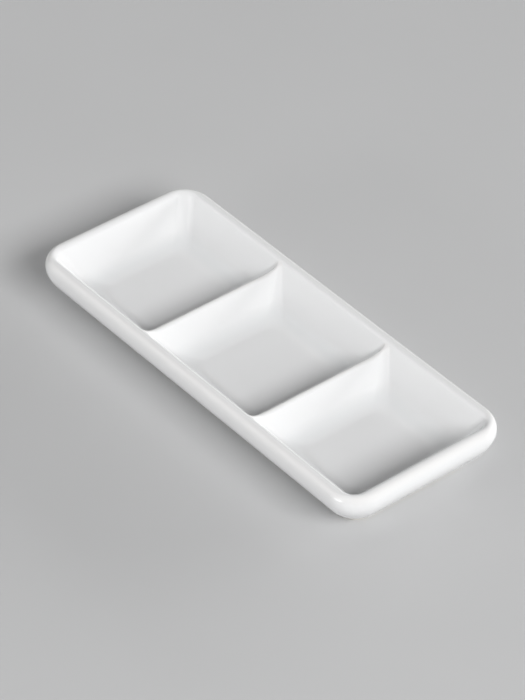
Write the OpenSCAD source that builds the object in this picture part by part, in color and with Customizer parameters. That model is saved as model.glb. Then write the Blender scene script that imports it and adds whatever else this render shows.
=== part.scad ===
// Long three-section serving dish of thick glazed porcelain.
// The origin is on the table under the middle of the dish. X runs along its length, Z is up.
// The shell is a rounded-rectangle outline carried up the outside, over the rolled rim and down
// the inside. The two dividers are ridges that grow out of the floor and run into the rim.

/* [Dish] */
// Length over the rim
dish_length = 225; // [195:5:300]
// Width over the rim
dish_width = 90; // [78:1:140]
// Height from the table to the top of the rim
dish_height = 25; // [21:1:36]
// Corner radius of the outline at its widest line
outer_corner_r = 14; // [10:0.5:20]

/* [Rim and wall] */
// How far in from the widest outline the rim is highest
rim_reach = 3.65; // [2.8:0.05:4.4]
// How far below the top of the rim the outline is widest
rim_depth = 5; // [3.6:0.1:6.5]
// Roundness of the rim's outer side: 2 is a quarter ellipse, more is fuller
rim_roundness = 2.4; // [2:0.1:3]
// Radius of the rim's inner edge
rim_r = 3; // [2.2:0.1:3.8]
// Lean of the inner faces away from upright, in degrees
wall_draft = 30; // [22:1:36]
// Corner radius of the inner faces
inner_corner_r = 6.5; // [4:0.5:10]
// How far the outside has drawn in at its base
hull_inset = 12; // [8:0.5:15]
// Lean of the outside away from upright where it meets the base, in degrees
hull_lean = 41; // [34:1:48]
// How far the outside is led straight down from its widest line
hull_start = 6; // [3:0.5:7]
// How far the outside is led up from the base at its lean
hull_end = 9; // [5:0.5:10]
// Corner radius of the outside at its base
base_corner_r = 9; // [7:0.5:14]

/* [Floor] */
// Thickness of the floor
floor_thickness = 4.5; // [3:0.5:7]
// Radius of the hollow fillet between the floor and every face that rises from it
floor_fillet_r = 12; // [6:0.5:16]

/* [Dividers] */
// Distance between the middles of the two dividers
divider_spacing = 75; // [62:1:90]
// How far the dividers' crests lie below the top of the rim
crest_drop = 3.9; // [2.6:0.1:6]
// Radius of the rounded crest
crest_r = 1.75; // [1.2:0.05:2.5]
// Length at each end over which a crest climbs to the rim
crest_climb = 11; // [8:0.5:14]
// Radius of the upright hollow corner between a divider and the wall, at the divider's foot
divider_corner_r = 6; // [3:0.5:8]
// Radius of the same corner at the crest
crest_corner_r = 3; // [1.5:0.5:4]

/* [Foot] */
// Height of the unglazed foot ring
foot_height = 1.5; // [0.8:0.1:3]
// Width of the foot ring's tread and walls
foot_width = 3; // [2:0.5:4.5]
// How far the foot ring stands in from the edge of the base
foot_margin = 1; // [0.5:0.1:2]
// Radius that the foot ring's lower edges are wiped to
foot_edge_r = 0.6; // [0.2:0.1:0.8]

/* [Hidden] */
$fn = 96;

// Counts of facets along the curves
corner_steps = 10;
hull_steps = 12;
roll_steps = 8;
join_steps = 2;
crest_steps = 5;
fillet_steps = 7;
climb_steps = 8;
turn_steps = 6;
edge_steps = 4;

// Angle on the rim's inner edge, from its top, where a climbing crest runs into it
join_angle = 40;

half_length = dish_length / 2;
half_width = dish_width / 2;
face_angle = 90 - wall_draft;
widest_level = dish_height - rim_depth;
floor_level = foot_height + floor_thickness;
crest_level = dish_height - crest_drop;

// Where the crest's round ends and the divider's flat face begins: half thickness and level
face_top = [crest_r * sin(face_angle), crest_level - crest_r * (1 - cos(face_angle))];
// The fillet takes up no more than this share of the divider's face
fillet_share = 0.9;
fillet_limit_r = fillet_share * (face_top[1] - floor_level) / (1 - cos(face_angle));
fillet_r = min(floor_fillet_r, fillet_limit_r);
fillet_run = fillet_r * tan(face_angle / 2);

// The foot ring's outline
foot_inset = hull_inset + foot_margin;
foot_corner_r = base_corner_r - foot_margin;

function mix(from, to, share) = from + (to - from) * share;

// Signs of the four corners, in order round the outline
corner_sides = [[1, 1], [-1, 1], [-1, -1], [1, -1]];

// A rounded rectangle, drawn in by inset from the dish's widest outline
function outline(inset, radius) = [
    for (corner = [0:3], step = [0:corner_steps])
        let (
            side = corner_sides[corner],
            turn = 90 * (corner + step / corner_steps)
        )
        [
            side[0] * (half_length - inset - radius) + radius * cos(turn),
            side[1] * (half_width - inset - radius) + radius * sin(turn)
        ]
];

// The same outline as a level ring, from a station of [inset, level, corner radius]
function ring(station) = [
    for (point = outline(station[0], station[2])) [point[0], point[1], station[1]]
];

// Inset and level on the rim's inner edge, at an angle from its top
function on_roll(angle) = [
    rim_reach + rim_r * sin(angle),
    dish_height - rim_r * (1 - cos(angle))
];

// Inset and level on the wall's inner face, below the rim's edge
roll_end = on_roll(face_angle);
function on_wall(level) = [roll_end[0] + (roll_end[1] - level) * tan(wall_draft), level];

// Distance and level on a hollow fillet, from the distance at which its face would meet the floor
function on_fillet(foot, angle) = [
    foot + fillet_run - fillet_r * sin(angle),
    floor_level + fillet_r * (1 - cos(angle))
];
function fillet_line(foot) = [
    for (step = [0:fillet_steps]) on_fillet(foot, face_angle * (1 - step / fillet_steps))
];

// Inner face of the wall, from where a crest runs into the rim's edge down to the floor.
// The wall and the dividers share these levels, so their facets meet face to face.
wall_line = concat(
    [for (step = [0:join_steps]) on_roll(mix(join_angle, face_angle, step / join_steps))],
    [
        for (step = [1:crest_steps - join_steps])
            on_wall(mix(roll_end[1], face_top[1], step / (crest_steps - join_steps)))
    ],
    fillet_line(on_wall(floor_level)[0])
);

// Half of a divider's section, from the crest down to the floor: half thickness and level
divider_line = concat(
    [
        for (step = [0:crest_steps])
            let (angle = face_angle * step / crest_steps)
            [crest_r * sin(angle), crest_level - crest_r * (1 - cos(angle))]
    ],
    fillet_line(face_top[0] + (face_top[1] - floor_level) * tan(wall_draft))
);
last_level = len(wall_line) - 1;
floor_inset = wall_line[last_level][0];

// The plan corner tightens over the rim, from the outer radius to the inner one
function inside_radius(inset) = mix(outer_corner_r, inner_corner_r, min(1, inset / roll_end[0]));

// The outside's curve, measured in and down from its widest line. It starts upright and ends
// at its lean, and each of its two coordinates is led by the two points in between.
hull_drop = widest_level - foot_height;
hull_led_in = hull_inset - hull_end * sin(hull_lean);
hull_led_down = hull_drop - hull_end * cos(hull_lean);
function led(share, first, second, end) =
    let (rest = 1 - share)
    3 * rest * share * (rest * first + share * second) + pow(share, 3) * end;

// Stations of the wall's section, from the base up the outside and down the inside
hull_stations = [
    for (step = [0:hull_steps])
        let (
            share = 1 - step / hull_steps,
            inset = led(share, 0, hull_led_in, hull_inset),
            depth = led(share, hull_start, hull_led_down, hull_drop)
        )
        [inset, widest_level - depth, mix(outer_corner_r, base_corner_r, inset / hull_inset)]
];
roll_stations = [
    for (step = [1:roll_steps])
        let (
            turn = 90 * step / roll_steps,
            inset = rim_reach * (1 - pow(cos(turn), 2 / rim_roundness)),
            rise = rim_depth * pow(sin(turn), 2 / rim_roundness)
        )
        [inset, widest_level + rise, inside_radius(inset)]
];
edge_stations = [
    for (step = [1:edge_steps - 1])
        let (point = on_roll(join_angle * step / edge_steps))
        [point[0], point[1], inside_radius(point[0])]
];
inside_stations = [for (point = wall_line) [point[0], point[1], inside_radius(point[0])]];
under_station = [floor_inset, foot_height, inner_corner_r];
wall_stations = concat(
    hull_stations,
    roll_stations,
    edge_stations,
    inside_stations,
    [under_station]
);

// The triangles that join rings of equal size into a closed loop of rings
function loop_faces(rings, size) = [
    for (ring = [0:rings - 1], step = [0:size - 1])
        let (
            a = ring * size + step,
            b = ring * size + (step + 1) % size,
            c = ((ring + 1) % rings) * size + (step + 1) % size,
            d = ((ring + 1) % rings) * size + step
        )
        each [[a, d, c], [a, c, b]]
];

module side_wall() {
    rings = [for (station = wall_stations) ring(station)];
    color([0.96, 0.96, 0.95])
        polyhedron(
            points = [for (ring = rings) each ring],
            faces = loop_faces(len(rings), len(rings[0])),
            convexity = 8
        );
}

module dish_floor() {
    color([0.93, 0.93, 0.93])
        translate([0, 0, foot_height])
            linear_extrude(floor_thickness)
                polygon(outline(floor_inset, inner_corner_r));
}

// How sharply the crest climbs: its slope at the end is the rim's own slope there
climb_height = wall_line[0][1] - divider_line[0][1];
climb_power = tan(join_angle) * crest_climb / climb_height;

// One level of a divider's face, from its middle to the wall. It runs straight, then turns
// out through a quarter round that ends flush with the wall, while the level climbs. The round
// widens from the crest to the foot.
function level_path(level) =
    let (
        half_thick = divider_line[level][0],
        low = divider_line[level][1],
        high = wall_line[level][1],
        end_y = half_width - wall_line[level][0],
        climb_y = end_y - crest_climb,
        down_share = (crest_level - low) / (crest_level - floor_level),
        corner_r = mix(crest_corner_r, divider_corner_r, down_share),
        turn_y = end_y - corner_r,
        flare = corner_r * min(1, half_thick / face_top[0])
    )
    [
        for (step = [0:climb_steps + turn_steps])
            let (
                turn = 90 * max(0, step - climb_steps) / turn_steps,
                run_y = step == 0 ? 0 : mix(climb_y, turn_y, min(1, (step - 1) / (climb_steps - 1))),
                y = run_y + corner_r * sin(turn),
                climbed = pow(max(0, (y - climb_y) / crest_climb), climb_power)
            )
            [half_thick + flare * (1 - cos(turn)), y, mix(low, high, climbed)]
    ];

// A ridge across the dish, as rows of points from one wall to the other
module divider(middle) {
    steps = climb_steps + turn_steps;
    paths = [for (level = [0:last_level]) level_path(level)];
    columns = 2 * last_level + 1;
    points = [
        for (row = [-steps:steps], column = [-last_level:last_level])
            let (
                point = paths[abs(column)][abs(row)],
                side = sign(column),
                end = sign(row)
            )
            [middle + side * point[0], end * point[1], point[2]]
    ];
    top_faces = [
        for (row = [0:2 * steps - 1], column = [0:columns - 2])
            let (
                a = row * columns + column,
                d = a + columns
            )
            each [[a, d, d + 1], [a, d + 1, a + 1]]
    ];
    under_faces = [
        for (row = [0:2 * steps - 1])
            let (
                left = row * columns,
                right = left + columns - 1
            )
            each [[left, right, right + columns], [left, right + columns, left + columns]]
    ];
    end_faces = [
        for (column = [0:last_level - 1])
            let (
                near_left = column,
                near_right = columns - 1 - column,
                far = 2 * steps * columns,
                far_left = far + near_left,
                far_right = far + near_right
            )
            each concat(
                [[far_left, far_right, far_right - 1], [near_left, near_right - 1, near_right]],
                column == last_level - 1 ? [] : [
                    [far_left, far_right - 1, far_left + 1],
                    [near_left, near_left + 1, near_right - 1]
                ]
            )
    ];
    polyhedron(points = points, faces = concat(top_faces, under_faces, end_faces), convexity = 4);
}

module left_divider() {
    color([0.9, 0.92, 0.95]) divider(-divider_spacing / 2);
}

module right_divider() {
    color([0.9, 0.92, 0.95]) divider(divider_spacing / 2);
}

// Section of the foot ring, measured from the centre of its corner, with wiped lower edges
module foot_section() {
    edge_turns = [for (step = [0:edge_steps]) 90 * step / edge_steps];
    inner_r = foot_corner_r - foot_width;
    polygon(concat(
        [[inner_r, foot_height]],
        [
            for (turn = edge_turns)
                [inner_r + foot_edge_r * (1 - cos(turn)), foot_edge_r * (1 - sin(turn))]
        ],
        [
            for (turn = edge_turns)
                [foot_corner_r - foot_edge_r * (1 - sin(turn)), foot_edge_r * (1 - cos(turn))]
        ],
        [[foot_corner_r, foot_height]]
    ));
}

module foot_ring() {
    middle_x = half_length - foot_inset - foot_corner_r;
    middle_y = half_width - foot_inset - foot_corner_r;
    color([0.86, 0.84, 0.79])
        for (corner = [0:3]) {
            side = corner_sides[corner];
            run = corner % 2 == 0 ? 2 * middle_y : 2 * middle_x;
            translate([side[0] * middle_x, side[1] * middle_y, 0])
                rotate([0, 0, 90 * corner]) {
                    rotate_extrude(angle = 90) foot_section();
                    rotate([90, 0, 0]) linear_extrude(run) foot_section();
                }
        }
}

side_wall();
dish_floor();
left_divider();
right_divider();
foot_ring();
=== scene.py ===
"""Long three-section serving dish of glazed porcelain, on a pale table in soft studio light.

Run as a script. It lays dense glazed surfaces over the packed solids: the side wall with its
rolled rim, the floor, the two dividers and the bare foot ring that the dish stands on.
"""

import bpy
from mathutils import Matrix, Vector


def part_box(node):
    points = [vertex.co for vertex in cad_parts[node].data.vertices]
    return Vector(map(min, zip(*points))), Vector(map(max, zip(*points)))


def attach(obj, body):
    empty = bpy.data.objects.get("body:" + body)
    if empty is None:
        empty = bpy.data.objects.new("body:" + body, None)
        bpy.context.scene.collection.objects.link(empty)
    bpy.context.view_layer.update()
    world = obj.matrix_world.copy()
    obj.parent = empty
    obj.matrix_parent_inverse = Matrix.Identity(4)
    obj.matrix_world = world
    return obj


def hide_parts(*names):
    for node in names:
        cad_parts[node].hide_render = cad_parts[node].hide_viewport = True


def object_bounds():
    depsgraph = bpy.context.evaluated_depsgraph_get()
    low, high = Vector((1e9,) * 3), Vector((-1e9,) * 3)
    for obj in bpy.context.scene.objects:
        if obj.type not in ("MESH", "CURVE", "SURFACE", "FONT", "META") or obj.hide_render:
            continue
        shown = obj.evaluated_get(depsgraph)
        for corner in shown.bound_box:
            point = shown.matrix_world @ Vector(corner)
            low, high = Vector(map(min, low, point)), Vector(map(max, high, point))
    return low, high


bl_info = {
    "name": "Divided serving dish",
    "version": (1, 0, 0),
    "blender": (4, 5, 0),
    "location": "View3D > Sidebar > Dish",
    "description": "Adds a three-section porcelain dish, its bare foot ring and a plain stage",
    "category": "Object",
}

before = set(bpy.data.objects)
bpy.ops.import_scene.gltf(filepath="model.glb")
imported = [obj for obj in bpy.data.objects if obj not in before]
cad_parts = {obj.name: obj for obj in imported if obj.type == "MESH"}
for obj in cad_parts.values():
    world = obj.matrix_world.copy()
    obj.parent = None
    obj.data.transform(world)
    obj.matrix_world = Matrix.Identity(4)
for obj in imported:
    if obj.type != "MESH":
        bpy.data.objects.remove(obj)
cad_low, cad_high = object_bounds()

import math

import bpy
import numpy as np
from bpy.props import FloatProperty, FloatVectorProperty, IntProperty, PointerProperty
from mathutils import Vector

BODY = "root"
GLAZED_SLOT = "glazed_porcelain"
BARE_SLOT = "bare_porcelain"
POOLED = "pooled_glaze"
THIN = "thin_glaze"
QUARTER = math.pi / 2

# How far the table reaches from the dish each way, the camera's sensor and the point on the
# table that the camera looks at
TABLE_REACH = 2.4
SENSOR_WIDTH = 36.0
AIM = Vector((-0.016785, 0.011829, 0.0))

# Distance of the lamps, and for each its bearing from the right-hand end, its height angle, the
# width and height that it fills in degrees, its power and whether the glaze mirrors it
LAMP_DISTANCE = 4.0
LAMPS = (
    ("key_lamp", -6, 34.5, 34, 18, 129.0, False),
    ("key_glow", 15, 41, 26, 14, 4.8, True),
    ("front_lamp", -90, 24, 18, 32, 12.5, True),
    ("low_front_lamp", -92, 8, 24, 14, 34.0, True),
    ("front_left_lamp", -135, 25, 50, 40, 26.0, True),
    ("left_lamp", 180, 60, 60, 56, 35.0, True),
    ("back_lamp", 80, 9, 60, 14, 132.0, False),
)

# Pace and start of the slow waves by which the body settles: of the draw along its length and
# its width, and of the sinking along each
DRAW_LONG_WAVE = (2.3, 0.8)
DRAW_WIDE_WAVE = (3.1, -0.6)
SINK_LONG_WAVE = (4.4, 0.5)
SINK_WIDE_WAVE = (1.7, -0.4)

# The floor's rings stop just short of its middle. Their corner radius keeps to this share of
# the room between the long sides, and a power below one sets them closer towards the middle.
FLOOR_REACH = 0.96
FLOOR_CORNER_SHARE = 0.9
FLOOR_CROWDING = 0.8

# The glaze is thin on a crest's top and back to its full depth this much sooner than the lean
# reaches a quarter turn
CREST_THIN_PACE = 1.5

foot_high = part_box("foot_ring")[1]
floor_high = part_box("dish_floor")[1]
left_low, left_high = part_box("left_divider")
right_low, right_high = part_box("right_divider")


def length(name, description, default):
    """A panel property that holds a length in metres."""
    return FloatProperty(
        name=name, description=description, default=default, min=0.0, precision=5, unit="LENGTH"
    )


def angle(name, description, default):
    """A panel property that holds an angle, given here in degrees."""
    return FloatProperty(
        name=name, description=description, default=math.radians(default), unit="ROTATION"
    )


def colour(name, description, default):
    """A panel property that holds a colour in linear light."""
    return FloatVectorProperty(
        name=name, description=description, default=default, min=0.0, max=1.0, size=3,
        subtype="COLOR",
    )


def plain_number(name, description, default):
    """A panel property that holds a share or a strength."""
    return FloatProperty(name=name, description=description, default=default, precision=4)


def count(name, description, default):
    """A panel property that holds how many steps a curve is cut into."""
    return IntProperty(name=name, description=description, default=default, min=1)


class DISH_PG_shape(bpy.types.PropertyGroup):
    """Sizes of the dish. The overall sizes come from the packed solids."""

    corner_r: length("Corner", "Corner radius of the widest outline", 0.014)
    rim_reach: length("Rim reach", "How far in from the outline the rim is highest", 0.00365)
    rim_depth: length("Rim depth", "How far below the rim's top the dish is widest", 0.005)
    rim_roundness: plain_number("Roundness", "Of the rim's outside: 2 is an ellipse", 2.4)
    rim_r: length("Rim edge", "Radius of the rim's inner edge", 0.003)
    wall_draft: angle("Draft", "Lean of the inner faces away from upright", 30)
    inner_corner_r: length("Inner corner", "Corner radius of the inner faces", 0.0065)
    hull_inset: length("Base inset", "How far the outside has drawn in at its base", 0.012)
    hull_lean: angle("Base lean", "Lean of the outside away from upright at its base", 41)
    hull_start: length("Outside's start", "How far the outside's curve is led down from the rim", 0.006)
    hull_end: length("Outside's end", "How far the outside's curve is led up from the base", 0.009)
    base_corner_r: length("Base corner", "Corner radius of the outside at its base", 0.009)
    floor_level: length("Floor level", "Height of the dish's floor", floor_high.z)
    fillet_r: length("Fillet", "Radius of the hollow fillet round the floor", 0.012)
    divider_spacing: length(
        "Divider spacing", "Distance between the middles of the two dividers",
        (right_low.x + right_high.x - left_low.x - left_high.x) / 2,
    )
    crest_drop: length("Crest drop", "How far a crest lies below the rim", 0.0039)
    crest_r: length("Crest", "Radius of a divider's rounded crest", 0.00175)
    crest_climb: length("Climb", "Length over which a crest climbs to the rim", 0.011)
    join_angle: angle("Join", "Where on the rim's inner edge a climbing crest runs in", 40)
    divider_corner_r: length("Divider corner", "Radius of the corner at a divider's foot", 0.006)
    crest_corner_r: length("Crest corner", "Radius of the same corner at the crest", 0.003)
    foot_height: length("Foot height", "Height of the bare foot ring", foot_high.z)
    foot_width: length("Foot width", "Width of the foot ring's tread", 0.003)
    foot_edge_r: length("Foot edge", "Radius of the foot ring's wiped edges", 0.0006)
    foot_cove_r: length("Foot cove", "Radius of the cove where the foot joins the base", 0.0004)
    settle: length("Settling", "How far the body has moved in the kiln", 0.00012)


class DISH_PG_mesh(bpy.types.PropertyGroup):
    """How finely the surfaces are cut."""

    corner: count("Corner", "Steps round each corner of the outline", 24)
    long_side: count("Long side", "Steps along each long side", 44)
    short_side: count("Short side", "Steps along each short side", 16)
    hull: count("Outside", "Steps up the outside", 40)
    roll: count("Roll", "Steps over the rim", 36)
    crest: count("Crest", "Steps down half a crest", 18)
    face: count("Face", "Steps down a flat inner face", 8)
    fillet: count("Fillet", "Steps round a hollow fillet", 24)
    run: count("Run", "Steps along the level half of a crest", 12)
    climb: count("Climb", "Steps along a climbing crest", 24)
    turn: count("Turn", "Steps round the corner beside a divider", 18)
    floor: count("Floor", "Rings of faces on the floor", 9)
    edge: count("Edge", "Steps round the rim's inner edge and the foot ring's edges", 8)


class DISH_PG_glaze(bpy.types.PropertyGroup):
    """Colours and finish of the fired surfaces."""

    glaze: colour("Glaze", "Glazed porcelain on an open face", (0.86, 0.863, 0.866))
    pooled: colour("Pooled glaze", "Thick glaze in the hollows", (0.835, 0.845, 0.85))
    thin: colour("Thin glaze", "Glaze drawn thin over an edge", (0.865, 0.861, 0.855))
    speck: colour("Speck", "Iron speck under the glaze", (0.5, 0.45, 0.38))
    roughness: plain_number("Roughness", "Roughness of the glaze", 0.08)
    bare: colour("Bare body", "Unglazed porcelain", (0.78, 0.75, 0.69))
    scuffed: colour("Scuffed body", "Porcelain rubbed on tables and shelves", (0.6, 0.585, 0.55))
    grit: colour("Grit", "Dark grit in the bare body", (0.33, 0.28, 0.22))


class DISH_PG_stage(bpy.types.PropertyGroup):
    """Table, lamps and camera."""

    table: colour("Table", "Colour of the table", (0.61, 0.612, 0.615))
    sky: colour("Room", "Light of the room from all sides", (0.03, 0.03, 0.0305))
    lens: plain_number("Lens", "Focal length on a 36 mm frame, in millimetres", 203.05)
    elevation: angle("Elevation", "Camera's height angle", 39.318)
    azimuth: angle("Azimuth", "Camera's angle round the dish from the front", 51.17)
    distance: length("Distance", "Camera's distance from the point it looks at", 1.776355)


def mix(start, end, share):
    """Start plus a share of the way to the end."""
    return start + (end - start) * share


def arc(middle, radius, start, end, steps):
    """A run of points on a section's arc: distance, level and lean of the line's travel.

    The lean is the angle of travel below level. A line whose lean grows bends round a middle
    below it, so its point is the middle plus the radius times the sine and cosine of the lean,
    and a hollow line, whose lean falls, takes them away.
    """
    lean = np.linspace(start, end, steps + 1)
    side = np.sign(end - start)
    out = middle[0] + side * radius * np.sin(lean)
    level = middle[1] + side * radius * np.cos(lean)
    return np.stack([out, level, lean], axis=1)


class Sections:
    """The section lines that the wall and the dividers share, from the panel's sizes."""

    def __init__(self, shape, mesh):
        self.half_length = (cad_high.x - cad_low.x) / 2
        self.half_width = (cad_high.y - cad_low.y) / 2
        self.top = cad_high.z
        self.face = QUARTER - shape.wall_draft
        self.widest = self.top - shape.rim_depth
        self.floor = shape.floor_level
        self.edge_end = (
            shape.rim_reach + shape.rim_r * math.sin(self.face),
            self.top - shape.rim_r * (1 - math.cos(self.face)),
        )
        crest = self.top - shape.crest_drop
        self.face_top = (
            shape.crest_r * math.sin(self.face),
            crest - shape.crest_r * (1 - math.cos(self.face)),
        )
        self.build_lines(shape, mesh, crest)

    def build_lines(self, shape, mesh, crest):
        """Wall line and divider line, step for step on the same levels, down to the floor.

        The divider's round crest is paired with the rim's edge and the top of the wall's face.
        The wall's way down is a cubic in the share of the crest passed: it starts level, so
        the crest's tip is rounded, and ends at the crest's own speed, so no crease follows.
        """
        share = np.linspace(0, 1, mesh.crest + 1)
        crest_run = shape.crest_r * self.face
        edge_run = shape.rim_r * (self.face - shape.join_angle)
        face_run = (self.edge_end[1] - self.face_top[1]) / math.sin(self.face)
        run = edge_run + face_run
        way = (3 * run - crest_run) * share**2 + (crest_run - 2 * run) * share**3
        way_rate = 2 * (3 * run - crest_run) * share + 3 * (crest_run - 2 * run) * share**2
        on_edge = np.minimum(way, edge_run) / shape.rim_r + shape.join_angle
        below = np.maximum(way - edge_run, 0)
        top_wall = np.stack([
            shape.rim_reach + shape.rim_r * np.sin(on_edge) + below * math.cos(self.face),
            self.top - shape.rim_r * (1 - np.cos(on_edge)) - below * math.sin(self.face),
            on_edge,
            way_rate / mesh.crest,
        ], axis=1)
        lean = self.face * share
        top_crest = np.stack([
            shape.crest_r * np.sin(lean),
            crest - shape.crest_r * (1 - np.cos(lean)),
            lean,
            np.full(share.size, crest_run / mesh.crest),
        ], axis=1)
        drop = self.face_top[1] - self.floor
        fillet_run = shape.fillet_r * math.tan(self.face / 2)
        lines = []
        for top_line in (top_wall, top_crest):
            foot = top_line[-1, 0] + drop / math.tan(self.face)
            hollow = arc(
                (foot + fillet_run, self.floor + shape.fillet_r), shape.fillet_r,
                self.face, 0, mesh.fillet,
            )
            face_share = np.linspace(0, 1, mesh.face + 1)[1:-1]
            flat = mix(top_line[-1, :2], hollow[0, :2], face_share[:, None])
            flat_run = np.hypot(*(hollow[0, :2] - top_line[-1, :2])) / mesh.face
            rows = np.concatenate([
                np.insert(flat, 2, self.face, axis=1),
                hollow,
            ])
            speed = np.full(len(rows), shape.fillet_r * self.face / mesh.fillet)
            speed[: mesh.face - 1] = flat_run
            lines.append(np.concatenate([top_line, np.column_stack([rows, speed])]))
        self.wall_line, self.divider_line = lines
        hollow_share = np.clip(
            (np.arange(len(self.wall_line)) - mesh.crest - mesh.face) / mesh.fillet, 0, 1
        )
        self.pooled = np.sin(np.pi * hollow_share) ** 2
        self.floor_inset = self.wall_line[-1, 0]


def plan(mesh):
    """Terms of a rounded rectangle, point by point round it, the four corners in turn.

    A point is the corner's middle plus the radius times the cosine and sine of its turn. Along
    a side the turn stays, and the middle goes a share of the way to the next corner. Each row
    holds the two weights of the middle, the cosine and the sine.
    """
    signs = np.array([[1, 1], [-1, 1], [-1, -1], [1, -1], [1, 1]], float)
    rows = []
    for corner, steps in enumerate((mesh.long_side, mesh.short_side) * 2):
        turn = QUARTER * (corner + np.linspace(0, 1, mesh.corner + 1))
        share = np.linspace(0, 1, steps + 1)[1:-1, None]
        middles = np.concatenate([
            np.repeat(signs[corner][None], turn.size, axis=0),
            mix(signs[corner], signs[corner + 1], share),
        ])
        turns = np.concatenate([turn, np.full(share.size, QUARTER * (corner + 1))])
        rows.append(np.column_stack([middles, np.cos(turns), np.sin(turns)]))
    return np.concatenate(rows)


def loft(sections, terms, stations, radius, radius_rate):
    """Points and normals of a section line carried round the plan outline.

    A station at some inset, level and lean gives the ring whose corner middles stand in by the
    inset plus the corner radius. The normal is square to the outline and to the line's travel:
    its plan part is the travel's rise, its upward part the travel's inward run, corrected in
    the corners for the way that the middles move.
    """
    inset, level, lean = (stations[:, [k]] for k in range(3))
    radius = radius[:, None]
    weight_x, weight_y, cosine, sine = terms.T
    x = weight_x * (sections.half_length - inset - radius) + radius * cosine
    y = weight_y * (sections.half_width - inset - radius) + radius * sine
    z = np.broadcast_to(level, x.shape)
    inward = np.cos(lean)
    rise = -np.sin(lean)
    radius_travel = radius_rate[:, None] * inward
    spread = weight_x * cosine + weight_y * sine
    upward = (inward + radius_travel) * spread - radius_travel
    normals = np.stack([cosine * rise, sine * rise, upward], axis=-1)
    return np.stack([x, y, z], axis=-1), unit(normals)


def unit(vectors):
    """Vectors scaled to length one."""
    size = np.linalg.norm(vectors, axis=-1, keepdims=True)
    return vectors / np.maximum(size, 1e-12)


def grid_faces(rows, columns, close_rows=False, close_columns=False):
    """Quads of a grid whose points are numbered row by row, joined to its first row or column
    where it is closed."""
    index = np.arange(rows * columns).reshape(rows, columns)
    if close_rows:
        index = np.concatenate([index, index[:1]])
    if close_columns:
        index = np.concatenate([index, index[:, :1]], axis=1)
    return np.stack(
        [index[:-1, :-1], index[:-1, 1:], index[1:, 1:], index[1:, :-1]], axis=-1
    ).reshape(-1, 4)


def settling(points, sections, amount):
    """How far the kiln has moved each point: inwards and down, more so the higher it stands.

    The plan parts draw each point towards the middle by its share of the way out, times a slow
    wave along the other direction, and the downward part is a product of two slow waves. Each
    wave, and the product, is brought to lie between nothing and one.
    """
    x, y, z = points.T
    high = np.clip(z / sections.top, 0, 1) * amount
    along = x / sections.half_length
    across = y / sections.half_width

    def turn(way, wave):
        pace, start = wave
        return pace * way + start

    draw_x = -along * high * (0.5 + 0.5 * np.sin(turn(across, DRAW_LONG_WAVE)))
    draw_y = -across * high * (0.5 + 0.5 * np.cos(turn(along, DRAW_WIDE_WAVE)))
    product = np.sin(turn(along, SINK_LONG_WAVE)) * np.cos(turn(across, SINK_WIDE_WAVE))
    return np.stack([draw_x, draw_y, -high * (0.5 + 0.5 * product)], axis=-1)


def settled(points, normals, sections, amount):
    """Points moved by the settling, and normals turned to suit.

    A normal loses its product with the settling's slopes, which are measured by moving the
    point a tenth of a millimetre each way along each axis.
    """
    reach = 1e-4
    turned = normals.copy()
    for axis in range(3):
        step = np.zeros(3)
        step[axis] = reach
        slope = settling(points + step, sections, amount) - settling(points - step, sections, amount)
        turned[:, axis] -= np.sum(slope / (2 * reach) * normals, axis=1)
    return points + settling(points, sections, amount), unit(turned)


def new_piece(name, node, material, surface, sections, shape):
    """A finished piece from its surface: points, normals, faces, hidden faces and glaze marks.

    Hidden faces are flat. Every other face takes the surface's own normals, so the pieces
    meet without a seam in the gloss.
    """
    points, normals = settled(surface["points"], surface["normals"], sections, shape.settle)
    faces = surface["faces"]
    hidden = surface["hidden"]
    mesh = bpy.data.meshes.new(name)
    mesh.from_pydata(points.tolist(), [], faces + hidden)
    smooth = np.zeros(len(mesh.polygons), bool)
    smooth[: len(faces)] = True
    mesh.polygons.foreach_set("use_smooth", smooth)
    corner_point = np.empty(len(mesh.loops), np.int32)
    mesh.loops.foreach_get("vertex_index", corner_point)
    corner_count = np.empty(len(mesh.polygons), np.int32)
    mesh.polygons.foreach_get("loop_total", corner_count)
    corner_normals = normals[corner_point] * np.repeat(smooth, corner_count)[:, None]
    mesh.normals_split_custom_set(corner_normals.tolist())
    for mark in (POOLED, THIN):
        layer = mesh.attributes.new(mark, "FLOAT", "POINT")
        layer.data.foreach_set("value", surface[mark].astype(np.float32))
    mesh.materials.append(material)
    mesh.update()
    piece = bpy.data.objects.new(name, mesh)
    bpy.context.scene.collection.objects.link(piece)
    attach(piece, BODY)
    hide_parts(node)


def led_curve(share, first, second, end):
    """A coordinate of a cubic led curve that starts at nothing, and its rate along the share.

    Its leading points stand a third and two thirds of the way, so the rates at its two ends are
    three times the step to the nearer leading point.
    """
    rest = 1 - share
    place = 3 * rest**2 * share * first + 3 * rest * share**2 * second + share**3 * end
    rate = 3 * (rest**2 * first + 2 * rest * share * (second - first) + share**2 * (end - second))
    return place, rate


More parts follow.
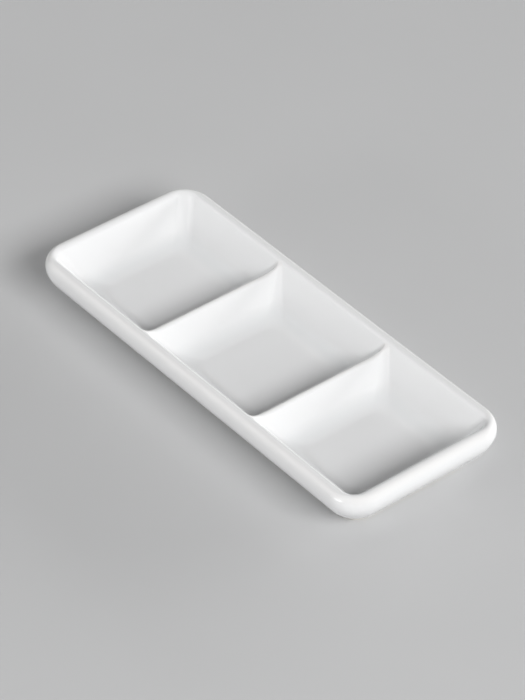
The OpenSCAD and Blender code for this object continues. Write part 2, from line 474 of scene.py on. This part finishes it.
def wall_surface(shape, mesh, sections):
    """The wall's section, from its base up the outside, over the rim and down the inside.

    The outside is a cubic curve whose inset and depth are each led by two lengths, down from the
    widest line and up from the base. The rim's outer side is a superellipse: with a turn from
    nothing to a quarter, it has come in by one less the turn's cosine, and up by its sine, each
    to the power two over the roundness. The rim's inner edge is an arc, down to where a climbing
    crest runs in. The plan corner tightens from the outer radius to the base's, and over the rim
    to the inner one.
    """
    share = np.linspace(1, 0, mesh.hull + 1)
    drop = sections.widest - shape.foot_height
    led_in = shape.hull_inset - shape.hull_end * math.sin(shape.hull_lean)
    led_down = drop - shape.hull_end * math.cos(shape.hull_lean)
    inset, inset_rate = led_curve(share, 0, led_in, shape.hull_inset)
    depth, depth_rate = led_curve(share, shape.hull_start, led_down, drop)
    hull = np.column_stack([inset, sections.widest - depth, np.arctan2(depth_rate, inset_rate) - np.pi])
    turn = QUARTER * np.linspace(0, 1, mesh.roll + 1)
    power = 2 / shape.rim_roundness
    roll = np.column_stack([
        shape.rim_reach * (1 - np.cos(turn) ** power),
        sections.widest + shape.rim_depth * np.sin(turn) ** power,
        -np.arctan2(
            shape.rim_depth * np.cos(turn) ** (2 - power),
            shape.rim_reach * np.sin(turn) ** (2 - power),
        ),
    ])
    edge = arc(
        (shape.rim_reach, sections.top - shape.rim_r), shape.rim_r, 0, shape.join_angle, mesh.edge,
    )
    inside = sections.wall_line[:, :3]
    under = np.array([[sections.floor_inset, shape.foot_height, np.pi]])
    stations = np.concatenate([hull, roll[1:], edge[1:-1], inside, under])
    inner = np.clip(stations[:, 0] / sections.edge_end[0], 0, 1)
    eased = inner**2 * (3 - 2 * inner)
    radius = mix(shape.corner_r, shape.inner_corner_r, eased)
    rate = (shape.inner_corner_r - shape.corner_r) * 6 * inner * (1 - inner)
    radius_rate = rate / sections.edge_end[0]
    radius[: mesh.hull + 1] = mix(shape.corner_r, shape.base_corner_r, inset / shape.hull_inset)
    radius_rate[: mesh.hull + 1] = (shape.base_corner_r - shape.corner_r) / shape.hull_inset
    terms = plan(mesh)
    points, normals = loft(sections, terms, stations, radius, radius_rate)
    rings, size = points.shape[:2]
    faces = grid_faces(rings, size, close_rows=True, close_columns=True)
    shown = (rings - 2) * size
    thin = np.zeros(rings)
    first = mesh.hull
    last = first + mesh.roll + mesh.edge
    thin[first : last + 1] = np.sin(np.linspace(0, np.pi, mesh.roll + mesh.edge + 1)) ** 2
    pooled = np.zeros(rings)
    pooled[-1 - len(inside) : -1] = sections.pooled
    return {
        "points": points.reshape(-1, 3),
        "normals": normals.reshape(-1, 3),
        "faces": faces[:shown].tolist(),
        "hidden": faces[shown:].tolist(),
        POOLED: np.repeat(pooled, size),
        THIN: np.repeat(thin, size),
    }


def floor_surface(shape, mesh, sections):
    """The floor plate inside the wall, as rings that shrink towards the middle on both sides.

    The corner radius shrinks with the room left between the long sides, and a ladder of quads
    and two end faces close the narrow ring that is left in the middle.
    """
    room = sections.half_width - sections.floor_inset
    share = np.linspace(1, 0, mesh.floor + 1)[:-1] ** FLOOR_CROWDING * FLOOR_REACH
    insets = np.append(sections.floor_inset + room * share, sections.floor_inset)
    radius = np.minimum(
        shape.inner_corner_r, FLOOR_CORNER_SHARE * (sections.half_width - insets)
    )
    top = np.column_stack([insets, np.full(insets.size, sections.floor), np.full(insets.size, np.pi)])
    under = np.column_stack([insets, np.full(insets.size, shape.foot_height), np.zeros(insets.size)])
    stations = np.concatenate([top, under[::-1]])
    radius = np.concatenate([radius, radius[::-1]])
    terms = plan(mesh)
    points, _ = loft(sections, terms, stations, radius, np.zeros(radius.size))
    rings, size = points.shape[:2]
    normals = np.zeros_like(points)
    normals[: insets.size, :, 2] = 1
    normals[insets.size :, :, 2] = -1
    quads = grid_faces(rings, size, close_columns=True)[:, ::-1]
    edge = np.arange((insets.size - 1) * size, insets.size * size)
    shown = np.delete(quads, edge, axis=0)
    half = 2 * (mesh.corner + 1) + mesh.long_side - 1
    side = mesh.short_side - 1
    upper = np.arange(half)
    lower = 2 * half + side - 1 - upper
    ladder = np.stack([upper[:-1], upper[1:], lower[1:], lower[:-1]], axis=1)
    left_end = np.arange(half - 1, half + side + 1)
    right_end = np.append(np.arange(2 * half + side - 1, size), 0)
    top_middle = ladder.tolist() + [left_end.tolist(), right_end.tolist()]
    last_ring = (rings - 1) * size
    under_middle = [[last_ring + point for point in face[::-1]] for face in top_middle]
    blank = np.zeros(rings * size)
    return {
        "points": points.reshape(-1, 3),
        "normals": normals.reshape(-1, 3),
        "faces": shown.tolist() + top_middle + under_middle,
        "hidden": quads[edge].tolist(),
        POOLED: blank,
        THIN: blank,
    }


def divider_surface(shape, mesh, sections, middle):
    """A ridge across the dish: a quarter is worked out and mirrored to the other three.

    Each level runs straight at its half thickness, then turns out through a quarter round that
    ends flush with the wall. Meanwhile its height goes from the divider's line to the wall's by
    a power of the way climbed, chosen so that the crest meets the rim's edge at its own slope.
    """
    out, low, lean, speed = sections.divider_line.T
    inset, high, wall_lean, wall_speed = sections.wall_line.T
    end_y = sections.half_width - inset
    climb_y = end_y - shape.crest_climb
    fall = speed * np.sin(lean)
    widening = (shape.divider_corner_r - shape.crest_corner_r) / (low[0] - low[-1])
    corner = shape.crest_corner_r + widening * (low[0] - low)
    corner_down = widening * fall
    turn_y = end_y - corner
    power = math.tan(shape.join_angle) * shape.crest_climb / (high[0] - low[0])
    thick = np.minimum(1, out / sections.face_top[0])
    flare = corner * thick * (2 - thick)
    flare_down = corner_down * thick * (2 - thick)
    flare_down += corner * 2 * (1 - thick) * speed * np.cos(lean) / sections.face_top[0]

    run = np.linspace(0, 1, mesh.run + 1)[:-1, None]
    climb = np.linspace(0, 1, mesh.climb + 1)[:-1, None]
    turn = QUARTER * np.linspace(0, 1, mesh.turn + 1)[:, None]
    turn_rate = QUARTER / mesh.turn
    blank = np.zeros_like
    past = np.concatenate([
        blank(run) + blank(end_y),
        climb * (turn_y - climb_y),
        shape.crest_climb - corner * (1 - np.sin(turn)),
    ])
    y = climb_y * np.concatenate([run, blank(climb) + 1, blank(turn) + 1]) + past
    y_along = np.concatenate([
        blank(run) + climb_y / mesh.run,
        blank(climb) + (turn_y - climb_y) / mesh.climb,
        corner * np.cos(turn) * turn_rate,
    ])
    past_down = -corner_down * np.concatenate([blank(run), climb, 1 - np.sin(turn)])
    y_down = past_down - wall_speed * np.cos(wall_lean) * np.concatenate([
        run, blank(climb) + 1, blank(turn) + 1,
    ])
    turns = np.concatenate([blank(run), blank(climb), turn])
    climbed = past / shape.crest_climb
    risen = climbed**power
    rising = (high - low) * power * climbed ** (power - 1) / shape.crest_climb
    x = out + flare * (1 - np.cos(turns))
    x_along = flare * np.sin(turns) * turn_rate
    x_down = speed * np.cos(lean) + flare_down * (1 - np.cos(turns))
    z = mix(low, high, risen)
    z_along = rising * y_along
    z_down = mix(-fall, -wall_speed * np.sin(wall_lean), risen) + rising * past_down

    normals = unit(np.cross(
        np.stack([x_down, y_down, z_down], axis=-1),
        np.stack([x_along, y_along, z_along], axis=-1),
    ))
    normals[-1] = np.stack([blank(lean), -np.sin(wall_lean), np.cos(wall_lean)], axis=-1)
    quarter = np.stack([x, y, z], axis=-1)

    steps, levels = quarter.shape[0] - 1, quarter.shape[1] - 1
    row = np.arange(-steps, steps + 1)[:, None]
    column = np.arange(-levels, levels + 1)[None, :]
    signs = np.stack([
        np.where(column < 0, -1, 1) + 0 * row, np.where(row < 0, -1, 1) + 0 * column,
        1 + 0 * row * column,
    ], axis=-1)
    points = quarter[abs(row), abs(column)] * signs
    points[..., 0] += middle
    normals = normals[abs(row), abs(column)] * signs
    rows, columns = points.shape[:2]
    faces = grid_faces(rows, columns)
    left = np.arange(rows) * columns
    right = left + columns - 1
    under = np.stack([left[:-1], left[1:], right[1:], right[:-1]], axis=1)
    near = np.arange(levels)
    opposite = columns - 1 - near
    near_end = np.stack([near[:-1], opposite[:-1], opposite[1:], near[1:]], axis=1)
    far = (rows - 1) * columns
    far_end = near_end[:, ::-1] + far
    tip = [[levels - 1, levels + 1, levels], [far + levels, far + levels + 1, far + levels - 1]]
    thin_line = np.cos(np.minimum(lean * CREST_THIN_PACE, QUARTER)) ** 2
    thin_line[mesh.crest :] = 0
    return {
        "points": points.reshape(-1, 3),
        "normals": normals.reshape(-1, 3),
        "faces": faces.tolist(),
        "hidden": under.tolist() + near_end.tolist() + far_end.tolist() + tip,
        POOLED: np.tile(sections.pooled[abs(column[0])], rows),
        THIN: np.tile(thin_line[abs(column[0])], rows),
    }


def foot_surface(shape, mesh, sections):
    """The foot ring's section: wiped edges on the tread, and coves where it joins the base."""
    outer = shape.hull_inset + foot_margin(sections, shape)
    inner = outer + shape.foot_width
    edge = shape.foot_edge_r
    cove = shape.foot_cove_r
    under = shape.foot_height
    stations = np.concatenate([
        arc((inner - edge, edge), edge, QUARTER, np.pi, mesh.edge),
        arc((outer + edge, edge), edge, -np.pi, -QUARTER, mesh.edge),
        arc((outer - cove, under - cove), cove, -QUARTER, -np.pi, mesh.edge),
        arc((inner + cove, under - cove), cove, np.pi, QUARTER, mesh.edge),
    ])
    radius = shape.base_corner_r + shape.hull_inset - stations[:, 0]
    terms = plan(mesh)
    points, normals = loft(sections, terms, stations, radius, np.full(radius.size, -1.0))
    rings, size = points.shape[:2]
    faces = grid_faces(rings, size, close_rows=True, close_columns=True)
    joint = 3 * (mesh.edge + 1) - 1
    buried = np.arange(joint * size, (joint + 1) * size)
    blank = np.zeros(rings * size)
    return {
        "points": points.reshape(-1, 3),
        "normals": normals.reshape(-1, 3),
        "faces": np.delete(faces, buried, axis=0).tolist(),
        "hidden": faces[buried].tolist(),
        POOLED: blank,
        THIN: blank,
    }


def foot_margin(sections, shape):
    """How far the packed foot ring stands in from the edge of the base."""
    return sections.half_length - foot_high.x - shape.hull_inset


class Wiring:
    """Places nodes in a tree: a call adds a node, sets its inputs and links the given sockets."""

    def __init__(self, tree):
        self.tree = tree

    def __call__(self, kind, inputs, **settings):
        node = self.tree.nodes.new(kind)
        node.location = (200 * len(self.tree.nodes), 0)
        for name, value in settings.items():
            setattr(node, name, value)
        for key, value in inputs.items():
            if isinstance(value, bpy.types.NodeSocket):
                self.tree.links.new(value, node.inputs[key])
            else:
                node.inputs[key].default_value = value
        return node

    def maths(self, operation, first, second=0.0):
        """The result of one sum on one or two values."""
        return self("ShaderNodeMath", {0: first, 1: second}, operation=operation).outputs[0]

    def spread(self, value, low, high, new_low, new_high):
        """A value carried smoothly from one range to another and held at its ends."""
        return self(
            "ShaderNodeMapRange",
            {"Value": value, "From Min": low, "From Max": high, "To Min": new_low, "To Max": new_high},
            interpolation_type="SMOOTHSTEP",
        ).outputs["Result"]

    def blend(self, share, first, second):
        """A colour a share of the way from one colour to another, each a socket or three parts."""
        node = self("ShaderNodeMix", {}, data_type="RGBA")
        sockets = [node.inputs[0]] + [part for part in node.inputs if part.type == "RGBA"]
        for socket, value in zip(sockets, (share, first, second)):
            if isinstance(value, bpy.types.NodeSocket):
                self.tree.links.new(value, socket)
            else:
                socket.default_value = value if socket.type == "VALUE" else (*value, 1.0)
        return [part for part in node.outputs if part.type == "RGBA"][0]


def new_group(name, inputs, outputs):
    """An empty node group with named sockets, and its input and output nodes."""
    tree = bpy.data.node_groups.new(name, "ShaderNodeTree")
    for label, kind, default in inputs:
        socket = tree.interface.new_socket(name=label, in_out="INPUT", socket_type=kind)
        if default is not None:
            socket.default_value = default
    for label, kind in outputs:
        tree.interface.new_socket(name=label, in_out="OUTPUT", socket_type=kind)
    wiring = Wiring(tree)
    start = wiring("NodeGroupInput", {})
    return tree, wiring, start.outputs


def ripple_group():
    """Slow swells and a fine grain on a fired surface, as a height in metres."""
    tree, wiring, given = new_group(
        "Fired ripple",
        [("Vector", "NodeSocketVector", None), ("Swell Scale", "NodeSocketFloat", 40.0),
         ("Swell Height", "NodeSocketFloat", 2e-5), ("Grain Scale", "NodeSocketFloat", 700.0),
         ("Grain Height", "NodeSocketFloat", 5e-7)],
        [("Height", "NodeSocketFloat")],
    )
    swell = wiring("ShaderNodeTexNoise", {
        "Vector": given["Vector"], "Scale": given["Swell Scale"], "Detail": 1.0,
    })
    grain = wiring("ShaderNodeTexNoise", {
        "Vector": given["Vector"], "Scale": given["Grain Scale"], "Detail": 2.0,
    })
    low = wiring.maths("MULTIPLY", swell.outputs[0], given["Swell Height"])
    fine = wiring.maths("MULTIPLY", grain.outputs[0], given["Grain Height"])
    wiring("NodeGroupOutput", {"Height": wiring.maths("ADD", low, fine)})
    return tree


def speck_group():
    """Scattered specks: a mask that is one inside the few cells that hold one."""
    tree, wiring, given = new_group(
        "Fired specks",
        [("Vector", "NodeSocketVector", None), ("Scale", "NodeSocketFloat", 180.0),
         ("Size", "NodeSocketFloat", 0.08), ("Share", "NodeSocketFloat", 0.1)],
        [("Mask", "NodeSocketFloat")],
    )
    cells = wiring("ShaderNodeTexVoronoi", {"Vector": given["Vector"], "Scale": given["Scale"]})
    near = wiring.maths("LESS_THAN", cells.outputs["Distance"], given["Size"])
    pick = wiring("ShaderNodeSeparateColor", {"Color": cells.outputs["Color"]}).outputs[0]
    chosen = wiring.maths("LESS_THAN", pick, given["Share"])
    wiring("NodeGroupOutput", {"Mask": wiring.maths("MULTIPLY", near, chosen)})
    return tree


def cloud_group():
    """Soft clouds that vary a tone or a finish between nothing and one."""
    tree, wiring, given = new_group(
        "Soft clouds",
        [("Vector", "NodeSocketVector", None), ("Scale", "NodeSocketFloat", 30.0)],
        [("Mask", "NodeSocketFloat")],
    )
    cloud = wiring("ShaderNodeTexNoise", {
        "Vector": given["Vector"], "Scale": given["Scale"], "Detail": 3.0,
    })
    wiring("NodeGroupOutput", {"Mask": wiring.spread(cloud.outputs[0], 0.3, 0.7, 0.0, 1.0)})
    return tree


def grouped(wiring, build, name, inputs):
    """A group node of a group that is built once and shared."""
    tree = bpy.data.node_groups.get(name) or build()
    return wiring("ShaderNodeGroup", inputs, node_tree=tree).outputs


def new_material(name):
    """A material with an empty tree, its wiring and the object's own coordinates."""
    material = bpy.data.materials.new(name)
    material.use_nodes = True
    material.node_tree.nodes.clear()
    wiring = Wiring(material.node_tree)
    place = wiring("ShaderNodeTexCoord", {}).outputs["Object"]
    return material, wiring, place


def glaze_material(glaze):
    """Clear gloss glaze over white porcelain.

    The tone cools where the glaze has pooled, by a share that clouds very slightly, and warms
    where it is drawn thin over an edge. The roughness clouds very slightly everywhere. Slow swells
    and a fine grain move the reflections.
    """
    name = "Glazed porcelain"
    if name in bpy.data.materials:
        return bpy.data.materials[name]
    material, wiring, place = new_material(name)
    pooled = wiring("ShaderNodeAttribute", {}, attribute_name=POOLED).outputs["Fac"]
    thin = wiring("ShaderNodeAttribute", {}, attribute_name=THIN).outputs["Fac"]
    cloud = grouped(wiring, cloud_group, "Soft clouds", {"Vector": place, "Scale": 22.0})["Mask"]
    depth = wiring.maths("MULTIPLY", pooled, wiring.spread(cloud, 0.0, 1.0, 0.7, 1.0))
    tone = wiring.blend(depth, tuple(glaze.glaze), tuple(glaze.pooled))
    tone = wiring.blend(thin, tone, tuple(glaze.thin))
    speck = grouped(wiring, speck_group, "Fired specks", {
        "Vector": place, "Scale": 130.0, "Size": 0.025, "Share": 0.06,
    })["Mask"]
    tone = wiring.blend(wiring.maths("MULTIPLY", speck, 0.35), tone, tuple(glaze.speck))
    rough = wiring.spread(cloud, 0.0, 1.0, glaze.roughness * 0.85, glaze.roughness * 1.25)
    height = grouped(wiring, ripple_group, "Fired ripple", {
        "Vector": place, "Swell Scale": 38.0, "Swell Height": 3e-5,
        "Grain Scale": 600.0, "Grain Height": 6e-7,
    })["Height"]
    bump = wiring("ShaderNodeBump", {"Strength": 1.0, "Distance": 1.0, "Height": height})
    shader = wiring("ShaderNodeBsdfPrincipled", {
        "Base Color": tone, "Roughness": rough, "IOR": 1.5, "Normal": bump.outputs["Normal"],
    })
    wiring("ShaderNodeOutputMaterial", {"Surface": shader.outputs["BSDF"]})
    return material


def bare_material(glaze):
    """Unglazed porcelain of the foot: matt, faintly warm, gritty, and scuffed on the tread."""
    name = "Bare porcelain"
    if name in bpy.data.materials:
        return bpy.data.materials[name]
    material, wiring, place = new_material(name)
    cloud = grouped(wiring, cloud_group, "Soft clouds", {"Vector": place, "Scale": 90.0})["Mask"]
    level = wiring("ShaderNodeSeparateXYZ", {"Vector": place}).outputs["Z"]
    tread = wiring.spread(level, 0.0, 0.0004, 1.0, 0.0)
    scuff = wiring.maths("MULTIPLY", tread, wiring.spread(cloud, 0.2, 0.9, 0.1, 0.8))
    tone = wiring.blend(scuff, tuple(glaze.bare), tuple(glaze.scuffed))
    speck = grouped(wiring, speck_group, "Fired specks", {
        "Vector": place, "Scale": 420.0, "Size": 0.12, "Share": 0.12,
    })["Mask"]
    tone = wiring.blend(wiring.maths("MULTIPLY", speck, 0.5), tone, tuple(glaze.grit))
    height = grouped(wiring, ripple_group, "Fired ripple", {
        "Vector": place, "Swell Scale": 260.0, "Swell Height": 2e-5,
        "Grain Scale": 3200.0, "Grain Height": 9e-6,
    })["Height"]
    bump = wiring("ShaderNodeBump", {"Strength": 1.0, "Distance": 1.0, "Height": height})
    rough = wiring.spread(cloud, 0.0, 1.0, 0.68, 0.82)
    shader = wiring("ShaderNodeBsdfPrincipled", {
        "Base Color": tone, "Roughness": rough, "IOR": 1.5, "Normal": bump.outputs["Normal"],
    })
    wiring("ShaderNodeOutputMaterial", {"Surface": shader.outputs["BSDF"]})
    return material


def table_material(stage):
    """Pale matt table, with the faintest clouds in its tone."""
    material, wiring, place = new_material("Pale table")
    cloud = grouped(wiring, cloud_group, "Soft clouds", {"Vector": place, "Scale": 9.0})["Mask"]
    tint = tuple(stage.table)
    tone = wiring.blend(cloud, tint, tuple(0.985 * part for part in tint))
    shader = wiring("ShaderNodeBsdfPrincipled", {"Base Color": tone, "Roughness": 0.75, "IOR": 1.4})
    wiring("ShaderNodeOutputMaterial", {"Surface": shader.outputs["BSDF"]})
    return material


def soft_lamp(name, azimuth, elevation, width, height, power, mirrored):
    """A flat square-edged lamp that faces the dish.

    Its place is given by its bearing round the dish from the right-hand end and its height
    angle, and its size by the angles that it fills as seen from the dish, all in degrees. A
    lamp that isn't mirrored lights the dish without showing as a hard highlight in its gloss.
    """
    bearing, rise = math.radians(azimuth), math.radians(elevation)
    way = Vector((
        math.cos(bearing) * math.cos(rise), math.sin(bearing) * math.cos(rise), math.sin(rise)
    ))
    data = bpy.data.lights.new(name, "AREA")
    data.shape = "RECTANGLE"
    data.size = 2 * LAMP_DISTANCE * math.tan(math.radians(width / 2))
    data.size_y = 2 * LAMP_DISTANCE * math.tan(math.radians(height / 2))
    data.energy = power
    lamp = bpy.data.objects.new(name, data)
    lamp.location = way * LAMP_DISTANCE
    lamp.rotation_euler = way.to_track_quat("Z", "Y").to_euler()
    lamp.visible_glossy = mirrored
    bpy.context.scene.collection.objects.link(lamp)


def new_table(stage):
    """One square sheet that the dish stands on."""
    reach = TABLE_REACH
    mesh = bpy.data.meshes.new("table")
    corners = [(-reach, -reach, 0), (reach, -reach, 0), (reach, reach, 0), (-reach, reach, 0)]
    mesh.from_pydata(corners, [], [(0, 1, 2, 3)])
    mesh.materials.append(table_material(stage))
    table = bpy.data.objects.new("table", mesh)
    bpy.context.scene.collection.objects.link(table)


def new_room(stage):
    """The faint, even light of the room."""
    world = bpy.data.worlds.new("Studio room")
    world.use_nodes = True
    world.node_tree.nodes["Background"].inputs["Color"].default_value = (*stage.sky, 1.0)
    bpy.context.scene.world = world


def new_camera(stage):
    """The camera at the photograph's angle. It backs away from the point that it looks at."""
    data = bpy.data.cameras.new("photo_camera")
    data.sensor_width = SENSOR_WIDTH
    data.lens = stage.lens
    camera = bpy.data.objects.new("photo_camera", data)
    level = math.cos(stage.elevation)
    back = Vector((
        math.sin(stage.azimuth) * level,
        -math.cos(stage.azimuth) * level,
        math.sin(stage.elevation),
    ))
    camera.location = AIM + back * stage.distance
    camera.rotation_euler = back.to_track_quat("Z", "Y").to_euler()
    bpy.context.scene.collection.objects.link(camera)
    bpy.context.scene.camera = camera


def add_glazed(context, name, node, surface_of, *place):
    """A glazed piece, from the function that works out its surface."""
    add_piece(context, name, node, GLAZED_SLOT, glaze_material, surface_of, *place)


def add_piece(context, name, node, slot, material_of, surface_of, *place):
    """A piece in the panel's sizes and colours. Place is what its surface needs besides them."""
    scene = context.scene
    shape, mesh = scene.dish_shape, scene.dish_mesh
    sections = Sections(shape, mesh)
    surface = surface_of(shape, mesh, sections, *place)
    new_piece(name, node, material_of(scene.dish_glaze), surface, sections, shape)


class DISH_OT_add_side_wall(bpy.types.Operator):
    """Adds the glazed side wall with its rolled rim"""

    bl_idname = "dish.add_side_wall"
    bl_label = "Add side wall"

    def execute(self, context):
        add_glazed(context, "glazed_side_wall", "side_wall", wall_surface)
        return {"FINISHED"}


class DISH_OT_add_floor(bpy.types.Operator):
    """Adds the glazed floor inside the wall"""

    bl_idname = "dish.add_floor"
    bl_label = "Add floor"

    def execute(self, context):
        add_glazed(context, "glazed_floor", "dish_floor", floor_surface)
        return {"FINISHED"}


class DISH_OT_add_dividers(bpy.types.Operator):
    """Adds the two glazed dividers"""

    bl_idname = "dish.add_dividers"
    bl_label = "Add dividers"

    def execute(self, context):
        spacing = context.scene.dish_shape.divider_spacing
        add_glazed(
            context, "glazed_left_divider", "left_divider", divider_surface, -spacing / 2
        )
        add_glazed(
            context, "glazed_right_divider", "right_divider", divider_surface, spacing / 2
        )
        return {"FINISHED"}


class DISH_OT_add_foot(bpy.types.Operator):
    """Adds the bare foot ring under the dish"""

    bl_idname = "dish.add_foot"
    bl_label = "Add foot ring"

    def execute(self, context):
        add_piece(
            context, "bare_foot_ring", "foot_ring", BARE_SLOT, bare_material, foot_surface
        )
        return {"FINISHED"}


class DISH_OT_add_stage(bpy.types.Operator):
    """Adds the table, the lamps, the room's light and the camera"""

    bl_idname = "dish.add_stage"
    bl_label = "Add stage"

    def execute(self, context):
        stage = context.scene.dish_stage
        new_table(stage)
        for lamp in LAMPS:
            soft_lamp(*lamp)
        new_room(stage)
        new_camera(stage)
        context.scene.view_settings.view_transform = "Standard"
        return {"FINISHED"}


class DISH_PT_panel(bpy.types.Panel):
    """Sizes, colours and pieces of the dish"""

    bl_idname = "DISH_PT_panel"
    bl_label = "Divided serving dish"
    bl_space_type = "VIEW_3D"
    bl_region_type = "UI"
    bl_category = "Dish"

    def draw(self, context):
        for scene_name, group in GROUPS.items():
            box = self.layout.box()
            box.label(text=group.__doc__)
            values = getattr(context.scene, scene_name)
            for name in group.__annotations__:
                box.prop(values, name)
        for operator in OPERATORS:
            self.layout.operator(operator.bl_idname)


OPERATORS = (
    DISH_OT_add_side_wall,
    DISH_OT_add_floor,
    DISH_OT_add_dividers,
    DISH_OT_add_foot,
    DISH_OT_add_stage,
)
GROUPS = {
    "dish_shape": DISH_PG_shape,
    "dish_mesh": DISH_PG_mesh,
    "dish_glaze": DISH_PG_glaze,
    "dish_stage": DISH_PG_stage,
}


def register():
    """Registers the classes and hangs the panel's values on the scene."""
    for kind in (*GROUPS.values(), *OPERATORS, DISH_PT_panel):
        bpy.utils.register_class(kind)
    for name, kind in GROUPS.items():
        setattr(bpy.types.Scene, name, PointerProperty(type=kind))


def unregister():
    """Takes the panel's values off the scene and the classes out again."""
    for name in GROUPS:
        delattr(bpy.types.Scene, name)
    for kind in (DISH_PT_panel, *reversed(OPERATORS), *reversed(GROUPS.values())):
        bpy.utils.unregister_class(kind)


def main():
    """Makes the pieces and the stage in order."""
    register()
    bpy.ops.dish.add_side_wall()
    bpy.ops.dish.add_floor()
    bpy.ops.dish.add_dividers()
    bpy.ops.dish.add_foot()
    bpy.ops.dish.add_stage()


if __name__ == "__main__":
    main()
